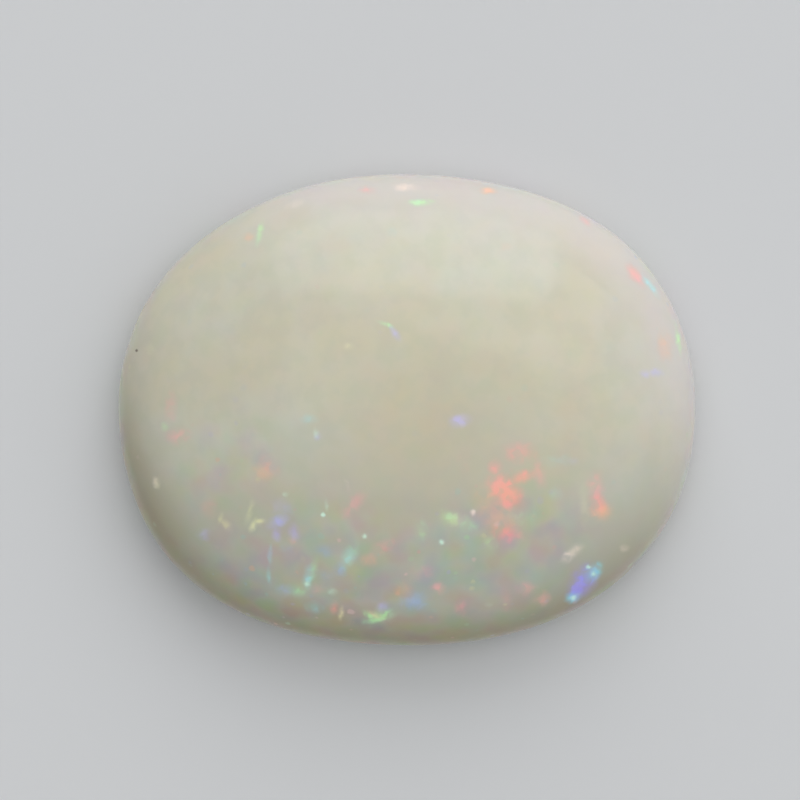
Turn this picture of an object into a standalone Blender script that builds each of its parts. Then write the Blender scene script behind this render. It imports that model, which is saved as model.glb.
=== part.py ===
"""A polished oval opal cabochon, lying on its flat back with its dome up.

The stone is one solid. X runs along its length, Y across it and Z up, in metres,
and the origin is the middle of the flat back.
"""

from math import cos, pi, radians, sin, sqrt

import bmesh
import bpy

# Driving dimensions.
LENGTH = 0.022
WIDTH = 0.018
THICKNESS = 0.0062
BACK_BEVEL = 0.0006  # width and height of the ground edge round the flat back
GIRDLE = 0.0005  # upright band between the bevel and the dome

# How far each shoulder of the outline swells past a true ellipse, as a share of the
# distance from the middle. A stone shaped by hand is never the same on all four.
SHOULDERS = {
    "back_right": 0.035,
    "back_left": 0.016,
    "front_left": 0.042,
    "front_right": 0.032,
}

# 2 gives an ellipse as the dome's section. More gives a flatter top and fuller sides.
DOME_POWER = 2.2

SEGMENTS = 96  # round the outline
DOME_RINGS = 14  # from the girdle to the crown

SHARP_ANGLE = radians(30)
OPAL_COLOUR = (0.61, 0.60, 0.50, 1.0)
OPAL_ROUGHNESS = 0.12
OPAL_IOR = 1.45


def clear_scene():
    for item in list(bpy.data.objects):
        bpy.data.objects.remove(item, do_unlink=True)


def shoulder_swell(turn):
    """The outline's swell at this turn: nothing on the axes, most on the diagonals.

    Between the diagonals it is a bilinear blend of the four shoulders' values.
    """
    right = (1 + sqrt(2) * cos(turn)) / 2
    back = (1 + sqrt(2) * sin(turn)) / 2
    blend = (
        SHOULDERS["back_right"] * right * back
        + SHOULDERS["back_left"] * (1 - right) * back
        + SHOULDERS["front_left"] * (1 - right) * (1 - back)
        + SHOULDERS["front_right"] * right * (1 - back)
    )
    return blend * sin(2 * turn) ** 2


def add_oval(bm, half_length, half_width, height):
    """One closed loop of edges with the stone's outline, level, at this height."""
    corners = []
    for step in range(SEGMENTS):
        turn = 2 * pi * step / SEGMENTS
        reach = 1 + shoulder_swell(turn)
        x = half_length * reach * cos(turn)
        y = half_width * reach * sin(turn)
        corners.append(bm.verts.new((x, y, height)))
    return [bm.edges.new((corners[i - 1], corners[i])) for i in range(SEGMENTS)]


def levels():
    """(half length, half width, height) of each loop, from the flat back to the crown."""
    half_length = LENGTH / 2
    half_width = WIDTH / 2
    yield half_length - BACK_BEVEL, half_width - BACK_BEVEL, 0.0
    yield half_length, half_width, BACK_BEVEL
    dome_base = BACK_BEVEL + GIRDLE
    dome_rise = THICKNESS - dome_base
    for ring in range(DOME_RINGS):
        climb = (pi / 2) * ring / DOME_RINGS
        share = cos(climb) ** (2 / DOME_POWER)
        yield half_length * share, half_width * share, dome_base + dome_rise * sin(climb)


def close_crown(bm, loop):
    """Fans the last loop of edges in to one point, the top of the dome."""
    crown = bm.verts.new((0.0, 0.0, THICKNESS))
    for edge in loop:
        bm.faces.new((edge.verts[0], edge.verts[1], crown))


def opal_material():
    material = bpy.data.materials.new("opal")
    material.use_nodes = True
    shader = material.node_tree.nodes["Principled BSDF"]
    shader.inputs["Base Color"].default_value = OPAL_COLOUR
    shader.inputs["Roughness"].default_value = OPAL_ROUGHNESS
    shader.inputs["Metallic"].default_value = 0.0
    shader.inputs["IOR"].default_value = OPAL_IOR
    return material


def opal_cabochon():
    bm = bmesh.new()
    loops = [add_oval(bm, *level) for level in levels()]
    bmesh.ops.edgeloop_fill(bm, edges=loops[0])
    for lower, upper in zip(loops, loops[1:]):
        bmesh.ops.bridge_loops(bm, edges=lower + upper)
    close_crown(bm, loops[-1])
    bmesh.ops.recalc_face_normals(bm, faces=bm.faces)

    mesh = bpy.data.meshes.new("opal_cabochon")
    bm.to_mesh(mesh)
    bm.free()
    mesh.shade_smooth()
    mesh.set_sharp_from_angle(angle=SHARP_ANGLE)
    mesh.materials.append(opal_material())

    stone = bpy.data.objects.new("opal_cabochon", mesh)
    bpy.context.scene.collection.objects.link(stone)
    return stone


clear_scene()
opal_cabochon()
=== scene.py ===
# %% [markdown]
# # A polished white opal
#
# The object is one stone: an oval cabochon of white opal, domed and polished in front and ground
# flat behind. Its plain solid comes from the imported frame. This lesson makes the fine polished
# surface that stands for it, the milky body colour, the small flashes of play-of-colour inside it,
# and a soft studio to see them in.

# %% Load the fixed frame
from math import cos, pi, radians, sin, sqrt

import bpy
import numpy as np
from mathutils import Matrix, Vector


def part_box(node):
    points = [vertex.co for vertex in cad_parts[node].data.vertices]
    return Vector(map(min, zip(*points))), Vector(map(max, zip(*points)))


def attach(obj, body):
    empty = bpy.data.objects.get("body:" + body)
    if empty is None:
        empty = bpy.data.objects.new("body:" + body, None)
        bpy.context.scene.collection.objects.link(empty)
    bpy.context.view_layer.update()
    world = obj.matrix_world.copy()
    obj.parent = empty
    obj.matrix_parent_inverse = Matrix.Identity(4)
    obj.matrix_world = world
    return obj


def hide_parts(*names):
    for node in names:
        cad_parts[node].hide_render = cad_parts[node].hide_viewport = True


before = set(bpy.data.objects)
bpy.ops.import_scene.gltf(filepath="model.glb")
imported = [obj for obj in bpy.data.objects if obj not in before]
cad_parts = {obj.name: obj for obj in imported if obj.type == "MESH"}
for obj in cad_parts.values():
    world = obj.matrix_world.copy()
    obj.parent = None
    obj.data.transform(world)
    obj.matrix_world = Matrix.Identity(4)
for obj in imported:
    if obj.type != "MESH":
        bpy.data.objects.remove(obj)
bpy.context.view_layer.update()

STONE = "opal_cabochon"
MM = 0.001
print("nodes:", sorted(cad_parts))

# %% [markdown]
# ## The stone's own sizes
#
# The box of the solid gives the length, width and thickness. The rest are the cutter's choices: a
# small ground bevel round the back so the edge doesn't chip, a narrow upright girdle for a setting
# to grip, and a dome a little fuller than an ellipse. The outline was shaped by eye against a
# wheel, so its four shoulders swell past a true ellipse by different amounts.

# %% Measure the stone
low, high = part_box(STONE)
HALF_LENGTH = (high.x - low.x) / 2
HALF_WIDTH = (high.y - low.y) / 2
THICKNESS = high.z - low.z
BACK_BEVEL = 0.6 * MM
GIRDLE = 0.5 * MM
DOME_POWER = 2.2
SHOULDERS = {"back_right": 0.035, "back_left": 0.016, "front_left": 0.042, "front_right": 0.032}
print(f"half sizes {HALF_LENGTH / MM:.2f} x {HALF_WIDTH / MM:.2f} mm, {THICKNESS / MM:.2f} mm thick")

# %% [markdown]
# ## The outline
#
# A circle stretched to the stone's half sizes would be a plain ellipse. Multiplying the reach by a
# small swell that is nothing on the axes and most on the diagonals squares the shoulders up. The
# swell between two shoulders is blended, so no corner shows where one value meets the next.

# %% The swell of the shoulders
def shoulder_swell(turn):
    """Share added to the reach at each turn: a bilinear blend of the four shoulders' values in
    sqrt(2) cos and sqrt(2) sin of the turn, times the square of the sine of twice the turn."""
    right = (1 + sqrt(2) * np.cos(turn)) / 2
    back = (1 + sqrt(2) * np.sin(turn)) / 2
    blend = (
        SHOULDERS["back_right"] * right * back
        + SHOULDERS["back_left"] * (1 - right) * back
        + SHOULDERS["front_left"] * (1 - right) * (1 - back)
        + SHOULDERS["front_right"] * right * (1 - back)
    )
    return blend * np.sin(2 * turn) ** 2


print("swell at the back right shoulder:", round(float(shoulder_swell(pi / 4)), 3))

# %% [markdown]
# ## The profile
#
# Cut through the middle, the stone is a path that runs out along the flat back, up the bevel, up
# the girdle and over the dome to the crown. On a polished stone no edge is truly sharp. Averaging
# the path over a short length rounds every corner by about that much, as a felt wheel does.

# %% The path from the middle of the back to the crown
EDGE_WEAR = 0.16 * MM
DOME_SAMPLES = 400
PATH_SAMPLES = 3000


def raw_profile():
    """Share of the outline, inset and height of the four stretches, joined end to end. The dome
    follows share to the power DOME_POWER, plus rise squared, equals one."""
    climb = np.linspace(0, pi / 2, DOME_SAMPLES)
    dome_base = BACK_BEVEL + GIRDLE
    dome_rise = THICKNESS - dome_base
    share = np.concatenate([[0, 1, 1, 1], np.cos(climb) ** (2 / DOME_POWER)])
    inset = np.concatenate([[BACK_BEVEL, BACK_BEVEL, 0, 0], np.zeros_like(climb)])
    height = np.concatenate([[0, 0, BACK_BEVEL, dome_base], dome_base + dome_rise * np.sin(climb)])
    return share, inset, height


def worn(values, window):
    """A running average, with each end carried on straight so that the ends stay put."""
    padded = np.pad(values, window, mode="reflect", reflect_type="odd")
    kernel = np.ones(2 * window + 1) / (2 * window + 1)
    return np.convolve(padded, kernel, mode="valid")


def profile():
    """The raw profile resampled evenly along its length and worn, with the length so far."""
    share, inset, height = raw_profile()
    reach = (HALF_LENGTH - inset) * share
    steps = np.hypot(np.diff(reach), np.diff(height))
    along = np.concatenate([[0], np.cumsum(steps)])
    even = np.linspace(0, along[-1], PATH_SAMPLES)
    window = int(EDGE_WEAR / along[-1] * PATH_SAMPLES / 2)
    columns = [worn(np.interp(even, along, column), window) for column in (share, inset, height)]
    return even, *columns


path, path_share, path_inset, path_height = profile()
print(f"path of {path[-1] / MM:.1f} mm")

# %% [markdown]
# ## Rows where they are needed
#
# The surface is a grid: columns go round the stone and rows go along the path. The flat back needs
# few rows, the worn bevel and girdle need them close together, and the dome takes the rest,
# because its curve is what catches the light.

# %% Place the rows along the path
COLUMNS = 480
BACK_ROWS = 16
EDGE_ROWS = 44
DOME_ROWS = 128
back_end = HALF_LENGTH - BACK_BEVEL
edge_end = back_end + sqrt(2) * BACK_BEVEL + GIRDLE
rows = np.concatenate([
    np.linspace(0, back_end - 2 * EDGE_WEAR, BACK_ROWS)[1:],
    np.linspace(back_end - 2 * EDGE_WEAR, edge_end + 2 * EDGE_WEAR, EDGE_ROWS)[1:],
    np.linspace(edge_end + 2 * EDGE_WEAR, path[-1], DOME_ROWS)[1:-1],
])
print(len(rows), "rows of", COLUMNS, "columns")

# %% [markdown]
# ## Hand-made unevenness
#
# A dome lapped by hand is never a perfect shape. Waves a few millimetres long and one or two
# hundredths of a millimetre high can't be seen as a change of form, but they bend the edge of each
# reflection, which is how an eye tells a real stone from a turned one. The flat back has none.

# %% Waves left by the lap
# Each wave: length in mm, direction in degrees, height in mm, phase in degrees.
LAP_WAVES = [
    (9.0, 20, 0.022, 40), (6.5, 110, 0.014, 200), (4.6, 65, 0.009, 310), (3.7, 155, 0.006, 90),
    (2.1, 10, 0.0020, 130), (1.7, 95, 0.0016, 20), (1.3, 50, 0.0010, 250),
]
LEAN = 0.6  # how far a wave shifts sideways with each millimetre of height


def lap_relief(x, y, z):
    """Sum of sine waves across the plan, leaning with the height, in metres, faded out below the
    dome so that the girdle, bevel and back stay true."""
    relief = np.zeros_like(x)
    for length, direction, rise, phase in LAP_WAVES:
        a = radians(direction)
        run = x * cos(a) + y * sin(a) + LEAN * z
        relief += rise * MM * np.sin(2 * pi * run / (length * MM) + radians(phase))
    fade = np.clip((z - BACK_BEVEL) / (3 * GIRDLE), 0, 1)
    return relief * fade


print(len(LAP_WAVES), "waves, the longest", LAP_WAVES[0][0], "mm")

# %% [markdown]
# ## The surface
#
# Each grid point is the outline's reach at that turn, times the path's share, at the path's
# height. It then moves by the relief along a rough outward direction, the gradient of an ellipsoid
# of the same size. The first and last rows close on one point each, in fans of triangles.

# %% Build the stone's mesh
def stone_grid():
    """Array of rows x columns x 3 in metres: x is (half length - inset) x share x swell x cosine
    of the turn, y the same with half width and sine, and z the path's height."""
    turn = np.linspace(0, 2 * pi, COLUMNS, endpoint=False)
    share = np.interp(rows, path, path_share)[:, None]
    inset = np.interp(rows, path, path_inset)[:, None]
    reach = share * (1 + shoulder_swell(turn))[None, :]
    x = (HALF_LENGTH - inset) * reach * np.cos(turn)
    y = (HALF_WIDTH - inset) * reach * np.sin(turn)
    z = np.interp(rows, path, path_height)[:, None] + np.zeros_like(x)
    outward = np.stack([x / HALF_LENGTH**2, y / HALF_WIDTH**2, z / THICKNESS**2], axis=-1)
    outward /= np.linalg.norm(outward, axis=-1, keepdims=True)
    return np.stack([x, y, z], axis=-1) + outward * lap_relief(x, y, z)[..., None]


def closed_mesh(name, grid, bottom, top):
    """Quads between the rows of the grid, and a fan to one point at each end."""
    count, columns = grid.shape[:2]
    points = np.concatenate([grid.reshape(-1, 3), [bottom, top]])
    here = np.arange(columns)
    after = (here + 1) % columns
    row = columns * np.arange(count - 1)[:, None]
    quads = np.stack([row + here, row + after, row + columns + after, row + columns + here], -1)
    bottom_fan = np.stack([np.full(columns, count * columns), after, here], -1)
    last = (count - 1) * columns
    top_fan = np.stack([np.full(columns, count * columns + 1), last + here, last + after], -1)
    faces = quads.reshape(-1, 4).tolist() + bottom_fan.tolist() + top_fan.tolist()
    mesh = bpy.data.meshes.new(name)
    mesh.from_pydata(points.tolist(), [], faces)
    mesh.update()
    mesh.shade_smooth()
    return mesh


grid = stone_grid()
crown = THICKNESS + float(lap_relief(np.zeros(1), np.zeros(1), np.full(1, THICKNESS))[0])
stone_mesh = closed_mesh("polished_opal", grid, (0, 0, 0), (0, 0, crown))
stone = bpy.data.objects.new("polished_opal", stone_mesh)
bpy.context.scene.collection.objects.link(stone)
stone_mesh.calc_loop_triangles()
print(len(stone_mesh.loop_triangles), "triangles")
print("stone in mm:", [round(side / MM, 2) for side in stone.dimensions])

# %% [markdown]
# ## Two helpers for materials
#
# Colours are written as sRGB hex, the way a picture editor shows them, and one function turns them
# into the linear light that shaders work in. One other function adds a node with its settings and
# its inputs, each a value or the socket that feeds it, which keeps a long material readable.

# %% Colours and nodes
def colour(hex_value):
    """Linear red, green, blue and alpha of an sRGB hex colour such as "d8d4c8"."""
    channels = [int(hex_value[i : i + 2], 16) / 255 for i in (0, 2, 4)]
    linear = [c / 12.92 if c <= 0.04045 else ((c + 0.055) / 1.055) ** 2.4 for c in channels]
    return (*linear, 1.0)


def add(tree, kind, inputs, **settings):
    """Adds a shader node. inputs is a list of values or feeding sockets for its first sockets, in
    order, or a dict of them by socket name or number."""
    node = tree.nodes.new("ShaderNode" + kind)
    for name, value in settings.items():
        setattr(node, name, value)
    pairs = inputs.items() if isinstance(inputs, dict) else enumerate(inputs)
    for key, value in pairs:
        if isinstance(value, bpy.types.NodeSocket):
            tree.links.new(value, node.inputs[key])
        else:
            node.inputs[key].default_value = value
    return node


FACTOR, UNDER, OVER, MIXED = 0, 6, 7, 2  # a Mix node's sockets when it mixes colours
COLOURS = {"data_type": "RGBA"}
SMOOTH = {"interpolation_type": "SMOOTHSTEP"}  # Map Range: value, from, from, to, to
print("milk white is", [round(c, 3) for c in colour("d8d4c8")[:3]])

# %% [markdown]
# ## The opal's coordinates
#
# Precious opal is packed silica spheres with water between them. White opal is the milky kind. Its
# pattern lives in the stone, so everything reads Object coordinates, first turned into millimetres
# so that each scale below is a real size. Two bent copies serve the soft clouds and the ragged
# flakes. Their flat copies, with no height, place a mark as seen from above.

# %% Start the material
CLOUD_BEND = 1.1  # mm that a cloud's edge wanders
CLOUD_WANDER = 4.0  # mm along the edge before it turns back
FLAKE_BEND = 0.08  # the same two for a flake
FLAKE_WANDER = 0.35

opal = bpy.data.materials.new("white_opal_polished")
opal.use_nodes = True
tree = opal.node_tree
tree.nodes.clear()
place = add(tree, "TexCoord", []).outputs["Object"]
mm = add(tree, "Mapping", {"Vector": place, "Scale": (1000, 1000, 1000)}).outputs[0]


def bent(features_mm, bend_mm):
    """The coordinates, each moved up to about bend_mm by noise with features of that size."""
    noise = add(tree, "TexNoise", {"Vector": mm, "Scale": 1 / features_mm, "Detail": 2.0})
    centred = add(tree, "VectorMath", [noise.outputs["Color"], (0.5, 0.5, 0.5)], operation="SUBTRACT")
    offset = add(tree, "VectorMath", {0: centred.outputs[0], "Scale": 2 * bend_mm}, operation="SCALE")
    return add(tree, "VectorMath", [mm, offset.outputs[0]], operation="ADD").outputs[0]


cloud_place = bent(CLOUD_WANDER, CLOUD_BEND)
flake_place = bent(FLAKE_WANDER, FLAKE_BEND)
FLATTEN = (1, 1, 0)
flat_place = add(tree, "VectorMath", [mm, FLATTEN], operation="MULTIPLY").outputs[0]
flat_cloud = add(tree, "VectorMath", [cloud_place, FLATTEN], operation="MULTIPLY").outputs[0]
flat_flake = add(tree, "VectorMath", [flake_place, FLATTEN], operation="MULTIPLY").outputs[0]
height = add(tree, "SeparateXYZ", [mm]).outputs["Z"]
print("coordinates ready")

# %% [markdown]
# ## Soft ovals
#
# The next finishes all need the same thing: an oval spot of a known size, place, direction and
# strength, fading outwards. A Mapping node turns the oval into a ball and a spherical gradient
# fills it. Lifting the ball off its plane weakens its middle, which sets the strength.

# %% One oval, and the strongest of several
def oval(where, x, y, length, width, turn, strength):
    """A spot centred on x, y, in mm: its strength in the middle, and about half of that on the rim
    of an oval of this length and width."""
    shape = {
        "Vector": where,
        "Location": (x, y, strength - 1),
        "Rotation": (0, 0, radians(turn)),
        "Scale": (length, width, 1),
    }
    ball = add(tree, "Mapping", shape, vector_type="TEXTURE").outputs[0]
    return add(tree, "TexGradient", [ball], gradient_type="SPHERICAL").outputs["Fac"]


def strongest(where, spots):
    """The strongest of these ovals at each point."""
    total = oval(where, *spots[0])
    for spot in spots[1:]:
        total = add(tree, "Math", [total, oval(where, *spot)], operation="MAXIMUM").outputs[0]
    return total


print("ovals ready")

# %% [markdown]
# ## Milk: clouds and painted shade in the body colour
#
# White opal is a cream that turns cooler where it is clearer. Slow clouds drift between warm and
# cool, a finer mottle lies over them, and the middle is warmest, where the stone is thickest. The
# milk also darkens to a grey towards the front third: that grey is painted shade, for the light
# falls from the back.

# %% Body colour
WARM_MILK = colour("dad4bd")
COOL_MILK = colour("d8d7c6")
BEIGE = colour("d2c8ab")
FRONT_SHADE_GREY = colour("c1c1b3")
MOTTLE = colour("c3c8b4")
CLOUD_SIZE = 4.5  # mm
MOTTLE_SIZE = 0.9  # mm
WARM_PLACES = [(1.5, -0.8, 6, 4.5, 0, 0.8), (4.5, -3.0, 3.5, 3, 20, 0.7)]

soft = {"Vector": cloud_place, "Scale": 1 / CLOUD_SIZE, "Detail": 3.0, "Roughness": 0.55}
clouds = add(tree, "TexNoise", soft)
cool = add(tree, "MapRange", [clouds.outputs["Fac"], 0.35, 0.65], **SMOOTH).outputs[0]
milk = add(tree, "Mix", {FACTOR: cool, UNDER: WARM_MILK, OVER: COOL_MILK}, **COLOURS).outputs[MIXED]

warm_middle = strongest(flat_cloud, WARM_PLACES)
warm = add(tree, "MapRange", [warm_middle, 0.0, 0.9, 0.0, 0.5], **SMOOTH).outputs[0]
milk = add(tree, "Mix", {FACTOR: warm, UNDER: milk, OVER: BEIGE}, **COLOURS).outputs[MIXED]

# Painted shade: clear says how far the milk darkens to grey towards the front.
depth = add(tree, "SeparateXYZ", [flat_cloud]).outputs["Y"]
clear = add(tree, "MapRange", [depth, 0.5, -7.0, 0.0, 0.8], **SMOOTH).outputs[0]
milk = add(tree, "Mix", {FACTOR: clear, UNDER: milk, OVER: FRONT_SHADE_GREY}, **COLOURS).outputs[MIXED]

fleck = add(tree, "TexNoise", {"Vector": flake_place, "Scale": 1 / MOTTLE_SIZE, "Detail": 3.0})
flecked = add(tree, "MapRange", [fleck.outputs["Fac"], 0.4, 0.62, 0.0, 0.18], **SMOOTH).outputs[0]
milk = add(tree, "Mix", {FACTOR: flecked, UNDER: milk, OVER: MOTTLE}, **COLOURS).outputs[MIXED]
print("body colour has", len(tree.nodes), "nodes so far")

# %% [markdown]
# ## The margins: painted sheen and painted shade
#
# Near the girdle the stone is thin. Towards the back right the rim is painted almost white, a painted
# sheen that stands for the lamps' reflection there, and towards the front left it is painted a darker
# olive, a painted shade where the steep side turns from the light. Each tint grows with the distance
# towards its own side and fades out up the dome. The olive shade fades to half down the girdle.

# %% Rim tints: painted sheen and painted shade
PAINTED_SHEEN_WHITE = colour("e4dcd9")
PAINTED_SHADE_OLIVE = colour("988d6b")
TOWARD_SHEEN = (0.5, 0.87, 0)
TOWARD_RIM_SHADE = (-0.3, -0.95, 0)


def rim(direction, along, strengths, heights):
    """Rises along the direction between two distances in mm, times a fade between two heights."""
    run = add(tree, "VectorMath", [flat_cloud, direction], operation="DOT_PRODUCT").outputs["Value"]
    side = add(tree, "MapRange", [run, *along, *strengths], **SMOOTH).outputs[0]
    low = add(tree, "MapRange", [height, *heights], **SMOOTH).outputs[0]
    return add(tree, "Math", [side, low], operation="MULTIPLY").outputs[0]


# Painted sheen: pale lightens the back right rim almost to white, where the lamps' reflection lies.
pale = rim(TOWARD_SHEEN, (1.0, 7.0), (0.0, 0.75), (5.2, 2.8))
milk = add(tree, "Mix", {FACTOR: pale, UNDER: milk, OVER: PAINTED_SHEEN_WHITE}, **COLOURS).outputs[MIXED]
# Painted shade: the front left rim is darkened to olive, and this fades to half down the girdle.
rim_shade = rim(TOWARD_RIM_SHADE, (-2.0, 7.5), (0.04, 0.8), (4.4, 2.3))
above_edge = add(tree, "MapRange", [height, 1.2, 2.6, 0.5, 1.0], **SMOOTH).outputs[0]
rim_shade = add(tree, "Math", [rim_shade, above_edge], operation="MULTIPLY").outputs[0]
milk = add(tree, "Mix", {FACTOR: rim_shade, UNDER: milk, OVER: PAINTED_SHADE_OLIVE}, **COLOURS).outputs[MIXED]
print("with its margins it has", len(tree.nodes))

# %% [markdown]
# ## The speck
#
# One dark speck of the rock the opal grew in is left near the left end. It is placed as seen from
# above, like the flashes below. Such marks fade out between two heights just over the girdle, so
# that none of them runs down the side.

# %% Speck
DARK_SPECK = colour("83796a")
SPECK = (-10.22, 2.24, 0.09, 0.09, 0, 1.0)  # x, y, length, width, direction, strength
MARKS_FADE = (1.3, 2.1)  # mm above the back

above_girdle = add(tree, "MapRange", [height, *MARKS_FADE], **SMOOTH).outputs[0]
speck = oval(flat_place, *SPECK)
speck = add(tree, "MapRange", [speck, 0.1, 0.7], **SMOOTH).outputs[0]
speck = add(tree, "Math", [speck, above_girdle], operation="MULTIPLY").outputs[0]
milk = add(tree, "Mix", {FACTOR: speck, UNDER: milk, OVER: DARK_SPECK}, **COLOURS).outputs[MIXED]
print("the speck is", SPECK[2], "mm across")

# %% [markdown]
# ## Play-of-colour: domains
#
# Where the spheres are stacked in order they split white light, and each small domain shows its own
# pure colour. Cells of a Voronoi pattern stand for the domains. Their values make a flash a mosaic
# of slightly different colours and strengths and not one flat patch, and a smooth Voronoi lets
# neighbours run into each other a little, because milk above the domains softens their edges.

# %% The domains
DOMAIN = 0.24  # mm across one domain
cells = {"Vector": flat_flake, "Scale": 1 / DOMAIN, "Smoothness": 0.7}
domains = add(tree, "TexVoronoi", cells, feature="SMOOTH_F1", voronoi_dimensions="2D")
domain_luck = add(tree, "SeparateColor", [domains.outputs["Color"]])
domain_hue = domain_luck.outputs["Red"]
domain_strength = add(tree, "MapRange", [domain_luck.outputs["Green"], 0, 1, 0.72, 1.32]).outputs[0]
print("domains", DOMAIN, "mm across")

# %% [markdown]
# ## The named flashes
#
# Each family has two milky colours that its domains vary between, a purer colour for its painted
# glow, and a list of ovals: middle x and y, length, width, direction and strength, in millimetres
# and degrees. The warm ones come first. The strongest is a red group to the front right with an
# orange glow round it.

# %% Warm flashes
WARM_FLASHES = {
    "orange": ("eec4a4", "eac6ac", "ff7c24", [
        (3.35, -3.35, 1.5, 1.4, 30, 0.55), (3.45, -4.05, 1.2, 0.9, 0, 0.5),
        (-5.26, -2.18, 1.0, 0.8, 40, 0.5), (9.72, 2.40, 0.6, 1.1, 0, 0.5),
        (-1.43, -5.6, 0.5, 0.5, 0, 0.55), (3.07, 8.28, 0.5, 0.26, -5, 0.85),
        (-0.1, -6.7, 0.6, 0.5, 0, 0.55), (-5.95, 6.5, 0.5, 0.4, 0, 0.4),
        (3.72, 6.1, 0.5, 0.4, 0, 0.3), (7.26, -3.76, 0.7, 0.6, 0, 0.85),
        (-4.25, -4.85, 0.4, 0.3, 0, 0.45), (8.55, 5.2, 0.7, 0.5, -52, 0.4),
    ]),
    "pink": ("e8bcb6", "e6c2bf", "ff4a5c", [
        (4.90, -2.36, 0.5, 0.9, 12, 0.6), (7.02, -2.84, 0.6, 1.0, 8, 0.6),
        (-8.53, -0.97, 0.8, 0.6, 10, 0.6), (-8.84, 0.1, 0.45, 1.0, 0, 0.55),
        (-2.01, -3.49, 1.1, 0.5, 45, 0.55), (-7.37, -3.7, 0.7, 0.7, 0, 0.42),
        (0.6, -6.05, 0.8, 0.6, 0, 0.5), (1.18, -6.65, 0.5, 0.4, 0, 0.7),
        (4.45, -6.7, 0.7, 0.5, 0, 0.55), (5.1, -7.1, 0.55, 0.5, 0, 0.6),
        (3.72, -7.1, 0.45, 0.9, 0, 0.42), (2.0, -7.4, 0.45, 0.6, 0, 0.55),
        (-0.91, -5.1, 1.1, 0.5, 25, 0.5), (-2.72, -7.4, 0.3, 0.5, 0, 0.6),
        (-3.32, -6.68, 0.5, 0.4, 0, 0.6), (8.62, 5.05, 0.8, 0.36, -52, 0.75),
        (6.74, 7.16, 0.5, 0.24, -35, 0.55), (3.9, -4.6, 1.2, 1.1, 0, 0.36),
        (2.1, -1.9, 0.6, 1.0, 0, 0.3), (-1.5, 8.30, 0.6, 0.28, 0, 0.6),
    ]),
    "red": ("ffb6b0", "ffbab0", "ff303a", [
        (3.55, -2.78, 0.85, 0.60, -22, 1.0), (3.88, -3.12, 0.70, 0.62, -60, 1.0),
        (3.72, -3.38, 0.50, 0.50, 0, 0.9), (4.22, -2.52, 0.85, 0.40, 22, 0.85),
        (3.72, -4.57, 0.80, 0.55, 0, 0.75), (7.14, -3.44, 0.50, 0.60, 60, 0.6),
        (4.19, -1.56, 1.1, 0.70, 5, 0.5), (3.27, -2.14, 0.45, 0.55, 0, 0.55),
        (3.42, -3.0, 0.5, 0.5, 0, 0.8), (3.68, -3.0, 1.0, 0.7, -45, 1.0),
    ]),
}
print(len(WARM_FLASHES), "warm families")

# %% [markdown]
# ## Yellow and green flashes
#
# Green is one of the commonest colours in precious opal, and red is the rarest. The strongest
# here is a leaf of fine strokes at the front.

# %% Yellow and green flashes
LEAF_FLASHES = {
    "yellow": ("e6e5c2", "ece9cf", "d8d878", [
        (-5.74, -4.28, 0.42, 0.24, 55, 0.9), (-5.85, -3.83, 0.24, 0.9, -15, 0.5),
        (-6.74, -4.30, 0.26, 0.5, 40, 0.6), (-5.52, -4.16, 0.45, 0.2, 10, 0.7),
        (1.73, -4.05, 0.9, 0.5, 0, 0.5), (6.6, -3.55, 0.40, 1.4, 0, 0.4),
        (-2.47, -7.63, 0.18, 0.42, -10, 1.0), (-2.15, 2.35, 0.4, 0.3, 0, 0.42),
        (-9.4, -2.75, 0.24, 0.36, 0, 0.6), (-1.2, -7.72, 0.6, 0.22, -30, 0.9),
        (-6.95, -4.05, 0.2, 0.4, -20, 0.5), (-9.7, 2.3, 0.4, 0.5, 0, 0.4),
    ]),
    "green": ("ccecba", "cceed0", "80f058", [
        (-1.15, -7.90, 0.75, 0.24, 14, 1.0), (-0.78, -7.64, 0.5, 0.2, 48, 1.0),
        (-1.42, -7.72, 0.45, 0.2, -35, 1.0), (-1.0, -7.75, 1.1, 0.6, 20, 0.55),
        (2.24, -4.23, 0.7, 0.5, -20, 0.55), (1.65, -4.0, 0.8, 0.5, -25, 0.55),
        (0.51, 7.79, 0.75, 0.24, 0, 0.8), (-5.53, 6.64, 0.24, 0.8, -8, 0.65),
        (-9.07, -0.62, 0.32, 0.32, 0, 0.6), (-0.82, 3.18, 0.5, 0.16, -20, 0.75),
        (-4.07, -6.74, 0.8, 0.5, 0, 0.5), (3.12, -4.95, 0.5, 0.5, 0, 0.45),
        (4.3, -4.1, 1.2, 0.9, 0, 0.4), (0.50, -4.4, 0.5, 0.8, 10, 0.45),
        (-2.13, -5.4, 0.9, 0.45, 62, 0.5), (10.28, 2.7, 0.2, 0.9, 8, 0.75),
        (-3.5, -6.0, 0.3, 0.9, -15, 0.5),
    ]),
}
print(len(LEAF_FLASHES), "families from yellow to green")

# %% [markdown]
# ## Cool and pale flashes
#
# The violet-blue group at the front right edge is the stone's brightest, with turquoise at both of
# its ends. The pale families stand for domains so small or so tilted that they look almost white.

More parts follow.
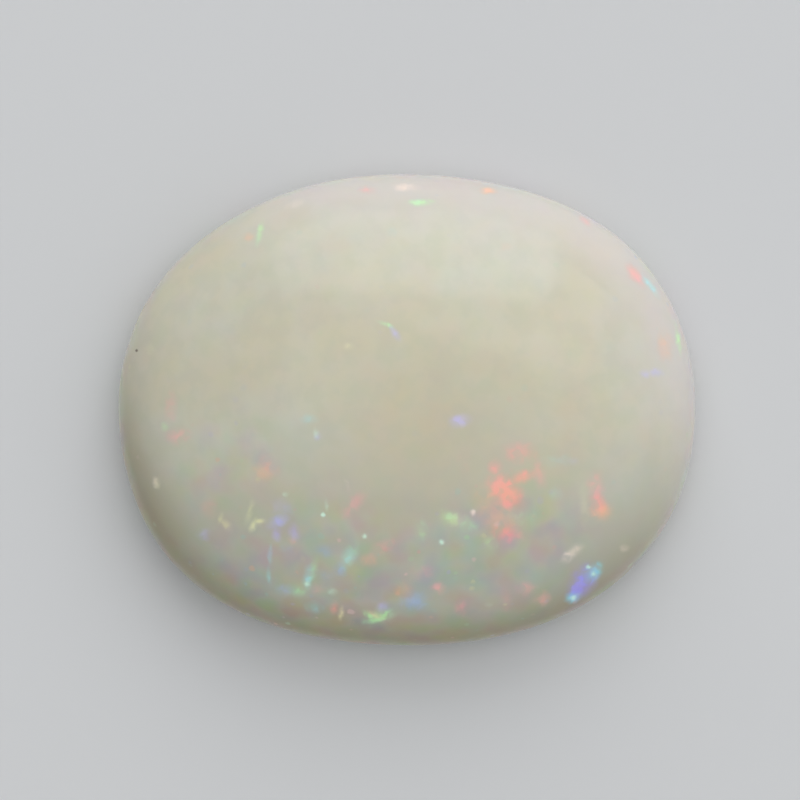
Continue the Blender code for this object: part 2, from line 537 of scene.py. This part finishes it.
# %% Cool and pale flashes
COOL_FLASHES = {
    "turquoise": ("9ce6e4", "a4e2f2", "00dcf4", [
        (7.00, -6.14, 0.75, 0.45, 45, 1.0), (6.28, -7.08, 0.5, 0.34, 20, 1.0),
    ]),
    "blue_violet": ("b0a8fc", "bcb2fc", "4434ff", [
        (6.62, -6.48, 1.15, 0.72, 58, 1.0), (6.46, -6.76, 0.7, 0.58, 60, 1.0),
    ]),
    "cyan": ("b8e8e2", "bce4ee", "20dcf0", [
        (-3.7, -6.25, 0.38, 0.85, -12, 0.6), (-2.2, -5.55, 0.5, 0.9, -30, 0.5),
        (-5.1, -5.38, 0.2, 0.8, 0, 0.5), (-5.15, -6.24, 0.2, 0.7, 5, 0.5),
        (9.22, 4.70, 0.8, 0.24, -52, 0.7), (-0.56, 6.65, 0.5, 0.4, 0, 0.3),
        (-3.5, -7.4, 0.6, 0.4, 0, 0.5), (5.5, -3.12, 0.7, 0.6, 0, 0.3),
        (5.55, -1.9, 1.2, 0.5, 0, 0.36), (-3.6, -0.34, 0.7, 0.40, 0, 0.38),
    ]),
    "violet": ("cfccfa", "dad6f6", "6858ff", [
        (-4.8, -4.15, 0.7, 0.4, 28, 0.62), (-7.6, -4.66, 0.5, 0.4, 0, 0.5),
        (-4.18, -4.57, 0.4, 0.6, 0, 0.55), (1.94, -0.39, 0.7, 0.42, 8, 0.6),
        (-0.42, 2.82, 0.24, 0.6, 38, 0.55), (9.35, 1.4, 0.5, 0.3, 0, 0.6),
        (8.93, 1.36, 0.4, 0.3, 0, 0.5), (-0.88, -7.4, 0.45, 0.36, 0, 0.6),
        (-4.57, -6.74, 0.6, 0.4, 0, 0.5), (-3.3, -0.98, 0.3, 0.3, 0, 0.42),
        (6.2, -1.92, 0.5, 0.4, 0, 0.3), (-4.85, -4.6, 0.36, 0.6, 0, 0.5),
        (-4.6, -3.6, 1.0, 0.7, 0, 0.36),
    ]),
    "blue": ("a8c2de", "b6cce2", "2c6cff", [
        (0.32, -7.18, 0.9, 0.6, 0, 0.75), (-2.5, -5.9, 0.5, 0.6, 0, 0.5),
        (-2.95, -6.2, 0.5, 0.4, 0, 0.45), (-3.05, -5.25, 0.6, 0.5, 0, 0.4),
        (-4.52, -5.22, 0.8, 0.6, 0, 0.36),
    ]),
    "cream": ("f2e4da", "f4e8dc", "ffdcc0", [
        (6.17, -5.33, 0.75, 0.32, 35, 0.85), (6.0, -5.5, 0.5, 0.36, 35, 0.6),
        (-0.04, 8.38, 0.8, 0.32, 0, 0.6), (8.2, -5.2, 0.4, 0.3, 0, 0.42),
        (2.43, -3.80, 0.18, 0.20, 0, 0.9), (-4.23, 7.78, 0.8, 0.36, 15, 0.42),
        (-9.43, -2.72, 0.24, 0.36, 0, 0.6), (-2.2, -2.8, 0.18, 0.5, 20, 0.4),
    ]),
    "mint": ("dcf2e4", "e2f4ea", "b8ffe0", [
        (1.28, -4.91, 0.20, 0.18, 0, 0.85), (-1.57, -4.68, 0.18, 0.18, 0, 0.95),
        (-3.12, -3.9, 0.15, 0.15, 0, 0.9), (7.02, -6.17, 0.20, 0.16, 0, 1.0),
        (6.86, -5.90, 0.18, 0.15, 0, 0.8), (-3.72, -6.50, 0.20, 0.18, 0, 0.8),
        (-4.51, -3.12, 0.24, 0.18, 0, 0.55), (-2.8, -6.8, 0.30, 0.22, 0, 0.6),
        (-3.36, -0.86, 0.2, 0.3, 0, 0.6), (3.06, -7.3, 0.3, 0.2, 0, 0.42),
        (-3.0, -3.5, 0.15, 0.5, 10, 0.4), (6.30, -7.10, 0.22, 0.16, 0, 0.8),
    ]),
}
print(len(COOL_FLASHES), "cool and pale families")

# %% [markdown]
# ## Light the flashes with a painted glow
#
# A flash is partly colour in the milk and partly painted light: an emission glow in its family's
# purer colour, standing in for the lamp light that a domain throws back in its one colour. So each
# family is laid over the body colour by a share, and over a separate glow colour, black elsewhere,
# by the square of its strength, which keeps the glow to the heart of each flash.

# %% Lay the flashes into the stone
BODY_SHARE = 0.6  # how far a flash recolours the milk itself
base_colour = milk
glow = colour("000000")
families = {**WARM_FLASHES, **LEAF_FLASHES, **COOL_FLASHES}
for first, second, light, spots in families.values():
    shape = strongest(flat_flake, spots)
    reach = add(tree, "Math", [shape, domain_strength], operation="MULTIPLY").outputs[0]
    lit = add(tree, "MapRange", [reach, 0.05, 0.95], **SMOOTH).outputs[0]
    lit = add(tree, "Math", [lit, above_girdle], operation="MULTIPLY").outputs[0]
    hues = {FACTOR: domain_hue, UNDER: colour(first), OVER: colour(second)}
    family = add(tree, "Mix", hues, **COLOURS).outputs[MIXED]
    share = add(tree, "Math", [lit, BODY_SHARE], operation="MULTIPLY").outputs[0]
    over_milk = {FACTOR: share, UNDER: base_colour, OVER: family}
    base_colour = add(tree, "Mix", over_milk, **COLOURS).outputs[MIXED]
    heart = add(tree, "Math", [lit, lit], operation="MULTIPLY").outputs[0]
    over_glow = {FACTOR: heart, UNDER: glow, OVER: colour(light)}
    glow = add(tree, "Mix", over_glow, **COLOURS).outputs[MIXED]
print("with the flashes it has", len(tree.nodes), "nodes")

# %% [markdown]
# ## Where the pinfire is
#
# Between the named flashes the front third is full of points of fire too small to name, and a few
# stray ones show round the edge. Soft ovals say how thick they are. Behind them a slow drift of
# colour tints the milk itself, by a soft light blend, so faintly that no patch stands out.

# %% Pinfire zones and drifting tint
TINT_SIZE = 1.1  # mm across one drift of tint
FIRE_PLACES = [
    (-1.5, -6.2, 8.5, 3.7, -4, 1.0), (3.5, -5.0, 5, 3, 20, 0.8), (-6.5, -2.0, 3.5, 3, 40, 0.45),
]

around_edge = add(tree, "MapRange", [height, 3.0, 1.6, 0.0, 0.45], **SMOOTH).outputs[0]
fire_zone = strongest(flat_cloud, FIRE_PLACES)
fire_zone = add(tree, "Math", [fire_zone, around_edge], operation="MAXIMUM").outputs[0]
drift = add(tree, "TexNoise", {"Vector": flake_place, "Scale": 1 / TINT_SIZE, "Detail": 1.0})
stronger = {"Color": drift.outputs["Color"], "Saturation": 2.1, "Value": 1.25}
vivid = add(tree, "HueSaturation", stronger).outputs["Color"]
tint = add(tree, "MapRange", [fire_zone, 0.0, 0.6, 0.04, 0.23], **SMOOTH).outputs[0]
tinted = {FACTOR: tint, UNDER: base_colour, OVER: vivid}
base_colour = add(tree, "Mix", tinted, blend_type="SOFT_LIGHT", **COLOURS).outputs[MIXED]
print("drifts of tint", TINT_SIZE, "mm across")

# %% [markdown]
# ## Points of fire
#
# A second Voronoi gives each point a place, and its three random values give it a size, a chance of
# shining and a colour from a short list. A point is a small ball round the middle of its cell.

# %% Points of fire
POINT_SPACING = 0.42  # mm
FIRE_COLOURS = ["e8b8b0", "e6c4aa", "c2deb8", "b0d8cc", "b4cae2", "c6c0e4", "e0deb8", "ecd2cc"]

points = add(tree, "TexVoronoi", {"Vector": flake_place, "Scale": 1 / POINT_SPACING})
luck = add(tree, "SeparateColor", [points.outputs["Color"]])
radius = add(tree, "MapRange", [luck.outputs["Green"], 0, 1, 0.15, 0.45]).outputs[0]
inside = add(tree, "Math", [radius, points.outputs["Distance"]], operation="SUBTRACT").outputs[0]
filled = add(tree, "MapRange", [inside, 0.0, 0.25], **SMOOTH).outputs[0]
chance = add(tree, "Math", [fire_zone, 0.6, luck.outputs["Blue"]], operation="MULTIPLY_ADD").outputs[0]
shining = add(tree, "MapRange", [chance, 0.8, 1.5, 0.0, 0.75], **SMOOTH).outputs[0]
shining = add(tree, "Math", [filled, shining], operation="MULTIPLY").outputs[0]

fire = add(tree, "ValToRGB", [luck.outputs["Red"]])
fire.color_ramp.interpolation = "CONSTANT"
stops = fire.color_ramp.elements
while len(stops) < len(FIRE_COLOURS):
    stops.new(1.0)
for i, hex_value in enumerate(FIRE_COLOURS):
    stops[i].position = i / len(FIRE_COLOURS)
    stops[i].color = colour(hex_value)
fired = {FACTOR: shining, UNDER: base_colour, OVER: fire.outputs["Color"]}
base_colour = add(tree, "Mix", fired, **COLOURS).outputs[MIXED]
print(len(FIRE_COLOURS), "fire colours")

# %% [markdown]
# ## The polished shader
#
# Opal's index of refraction is about 1.45, a little under glass, and a felt polish leaves it smooth
# but not quite mirror-sharp. Light goes a millimetre or two into the milk and comes out again, which
# is what subsurface scattering does. The back is only ground, so it is rougher than the dome.

# %% Finish the material
SCATTER = 1.6 * MM
# The emission below is the flashes' painted glow.
PAINTED_GLOW = 0.19
POLISHED = (0.09, 0.13)  # roughness varies a little over the dome
GROUND = 0.45
LAP_SIZE = 0.7  # mm across the faint dimples that a felt wheel leaves

fine = add(tree, "TexNoise", {"Vector": mm, "Scale": 1 / LAP_SIZE, "Detail": 2.0}).outputs["Fac"]
polish = add(tree, "MapRange", [fine, 0.3, 0.7, *POLISHED], **SMOOTH).outputs[0]
on_back = add(tree, "MapRange", [height, 0.5, 0.1], **SMOOTH).outputs[0]
roughness = add(tree, "Mix", {0: on_back, 2: polish, 3: GROUND}).outputs[0]
lap = add(tree, "Bump", {"Strength": 0.12, "Distance": 0.02 * MM, "Height": fine}).outputs["Normal"]
finish = {
    "Base Color": base_colour,
    "Roughness": roughness,
    "IOR": 1.45,
    "Subsurface Weight": 0.6,
    "Subsurface Radius": (1.0, 0.9, 0.7),
    "Subsurface Scale": SCATTER,
    "Normal": lap,
    "Emission Color": glow,
    "Emission Strength": PAINTED_GLOW,
}
shader = add(tree, "BsdfPrincipled", finish)
add(tree, "OutputMaterial", {"Surface": shader.outputs["BSDF"]})
stone_mesh.materials.append(opal)
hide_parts(STONE)
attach(stone, "root")
print("opal material has", len(tree.nodes), "nodes")

# %% [markdown]
# ## The floor
#
# A plain pale bowl: flat under the stone, then curving up all round, so that a low view sees a
# soft gradient and no hard edge. It is the same kind of grid as the stone: a path turned round Z.

# %% Floor and backdrop in one
FLAT_RADIUS = 0.7
BOWL_RADIUS = 1.1
WALL = 0.05
RING_POINTS = 128


def bowl_mesh():
    """Rings of RING_POINTS points. The radius grows to FLAT_RADIUS at height nothing, then a quarter
    circle of radius BOWL_RADIUS - FLAT_RADIUS carries it up, and it goes on straight."""
    bend = BOWL_RADIUS - FLAT_RADIUS
    climb = np.linspace(0, pi / 2, 24)
    inner = np.linspace(0.01, FLAT_RADIUS, 12)[:-1]
    radius = np.concatenate([inner, FLAT_RADIUS + bend * np.sin(climb), [BOWL_RADIUS]])
    rise = np.concatenate([np.zeros_like(inner), bend * (1 - np.cos(climb)), [bend + WALL]])
    turn = np.linspace(0, 2 * pi, RING_POINTS, endpoint=False)
    ring = np.stack([np.cos(turn), np.sin(turn), np.zeros_like(turn)], -1)
    rings = radius[:, None, None] * ring + rise[:, None, None] * np.array([0, 0, 1])
    count = len(radius)
    here = np.arange(RING_POINTS)
    after = (here + 1) % RING_POINTS
    row = RING_POINTS * np.arange(count - 1)[:, None]
    above = row + RING_POINTS
    quads = np.stack([row + here, above + here, above + after, row + after], -1)
    points = np.concatenate([rings.reshape(-1, 3), [[0, 0, 0]]])
    middle = np.stack([np.full(RING_POINTS, count * RING_POINTS), here, after], -1)
    mesh = bpy.data.meshes.new("studio_floor")
    mesh.from_pydata(points.tolist(), [], quads.reshape(-1, 4).tolist() + middle.tolist())
    mesh.update()
    mesh.shade_smooth()
    return mesh


floor = bpy.data.objects.new("studio_floor", bowl_mesh())
bpy.context.scene.collection.objects.link(floor)
print("floor", [round(side, 2) for side in floor.dimensions], "m")

# %% [markdown]
# ## The card
#
# The bowl is matt card, a neutral pale grey. Its rough fibres spread light evenly, so it takes a
# soft shadow, mirrors nothing, and throws a little light back up at the stone's edge.

# %% Card on the floor
CARD_ROUGHNESS = 0.9

card = bpy.data.materials.new("matt_pale_card")
card.use_nodes = True
card_shader = card.node_tree.nodes["Principled BSDF"]
card_shader.inputs["Base Color"].default_value = colour("dcddde")
card_shader.inputs["Roughness"].default_value = CARD_ROUGHNESS
floor.data.materials.append(card)
print("card is on the floor")

# %% [markdown]
# ## The light
#
# A light tent: broad white panels behind, behind to the right, to the right and above, and a weak
# one in front. The dome then carries a broad milky sheen along its back edge, widest at the right,
# and fades gently towards the front. Broad panels keep a polished stone free of hard glints.

# %% Panels of light
PANEL_SIZE = (0.94, 0.76)
PANEL_DISTANCE = 0.85
PANELS = {  # direction in degrees clockwise from the back, height in degrees, power in watts
    "back_panel": (0, 30, 2.50),
    "back_right_panel": (30, 45, 1.60),
    "right_panel": (90, 40, 0.86),
    "top_panel": (0, 89, 0.86),
    "front_panel": (180, 22, 0.70),
}


def panel(name, direction, elevation, power):
    """A rectangular area light facing the stone, which the camera itself doesn't see."""
    light = bpy.data.lights.new(name, "AREA")
    light.shape = "RECTANGLE"
    light.size, light.size_y = PANEL_SIZE
    light.energy = power
    lamp = bpy.data.objects.new(name, light)
    a, e = radians(direction), radians(elevation)
    outward = Vector((sin(a) * cos(e), cos(a) * cos(e), sin(e)))
    lamp.location = outward * PANEL_DISTANCE
    lamp.rotation_euler = (-outward).to_track_quat("-Z", "Y").to_euler()
    lamp.visible_camera = False
    bpy.context.scene.collection.objects.link(lamp)


for name, place_and_power in PANELS.items():
    panel(name, *place_and_power)
print(len(PANELS), "panels")

# %% [markdown]
# ## The sky
#
# An even pale sky fills the shadows. The Standard view transform leaves the stone's pale colours
# as they are.

# %% Sky
SKY_STRENGTH = 0.42

sky = bpy.data.worlds.new("pale_sky")
sky.use_nodes = True
background = sky.node_tree.nodes["Background"]
background.inputs["Color"].default_value = colour("f2f4f6")
background.inputs["Strength"].default_value = SKY_STRENGTH
bpy.context.scene.world = sky
bpy.context.scene.view_settings.view_transform = "Standard"
print("sky is", sky.name)

# %% [markdown]
# ## The camera
#
# A loose cabochon can't stand on its edge, so it lies on its back and the camera looks straight
# down on it, square on to its face. A long lens keeps the oval true.

# %% Camera
ELEVATION = radians(90)
LENS = 180
SENSOR = 36
FRAME_WIDTH = 30.48 * MM  # what the picture's width covers at the stone
AIM = Vector((-0.26 * MM, 0.37 * MM, 1.5 * MM))

camera_data = bpy.data.cameras.new("camera")
camera_data.lens = LENS
camera_data.sensor_width = SENSOR
camera_data.clip_start = 0.01
camera_data.clip_end = 5
camera = bpy.data.objects.new("camera", camera_data)
toward_camera = Vector((0, -cos(ELEVATION), sin(ELEVATION)))
camera.location = AIM + toward_camera * (LENS / SENSOR * FRAME_WIDTH)
camera.rotation_euler = (pi / 2 - ELEVATION, 0, 0)
bpy.context.scene.collection.objects.link(camera)
bpy.context.scene.camera = camera
print("camera is", round(camera.location.length / MM), "mm away")
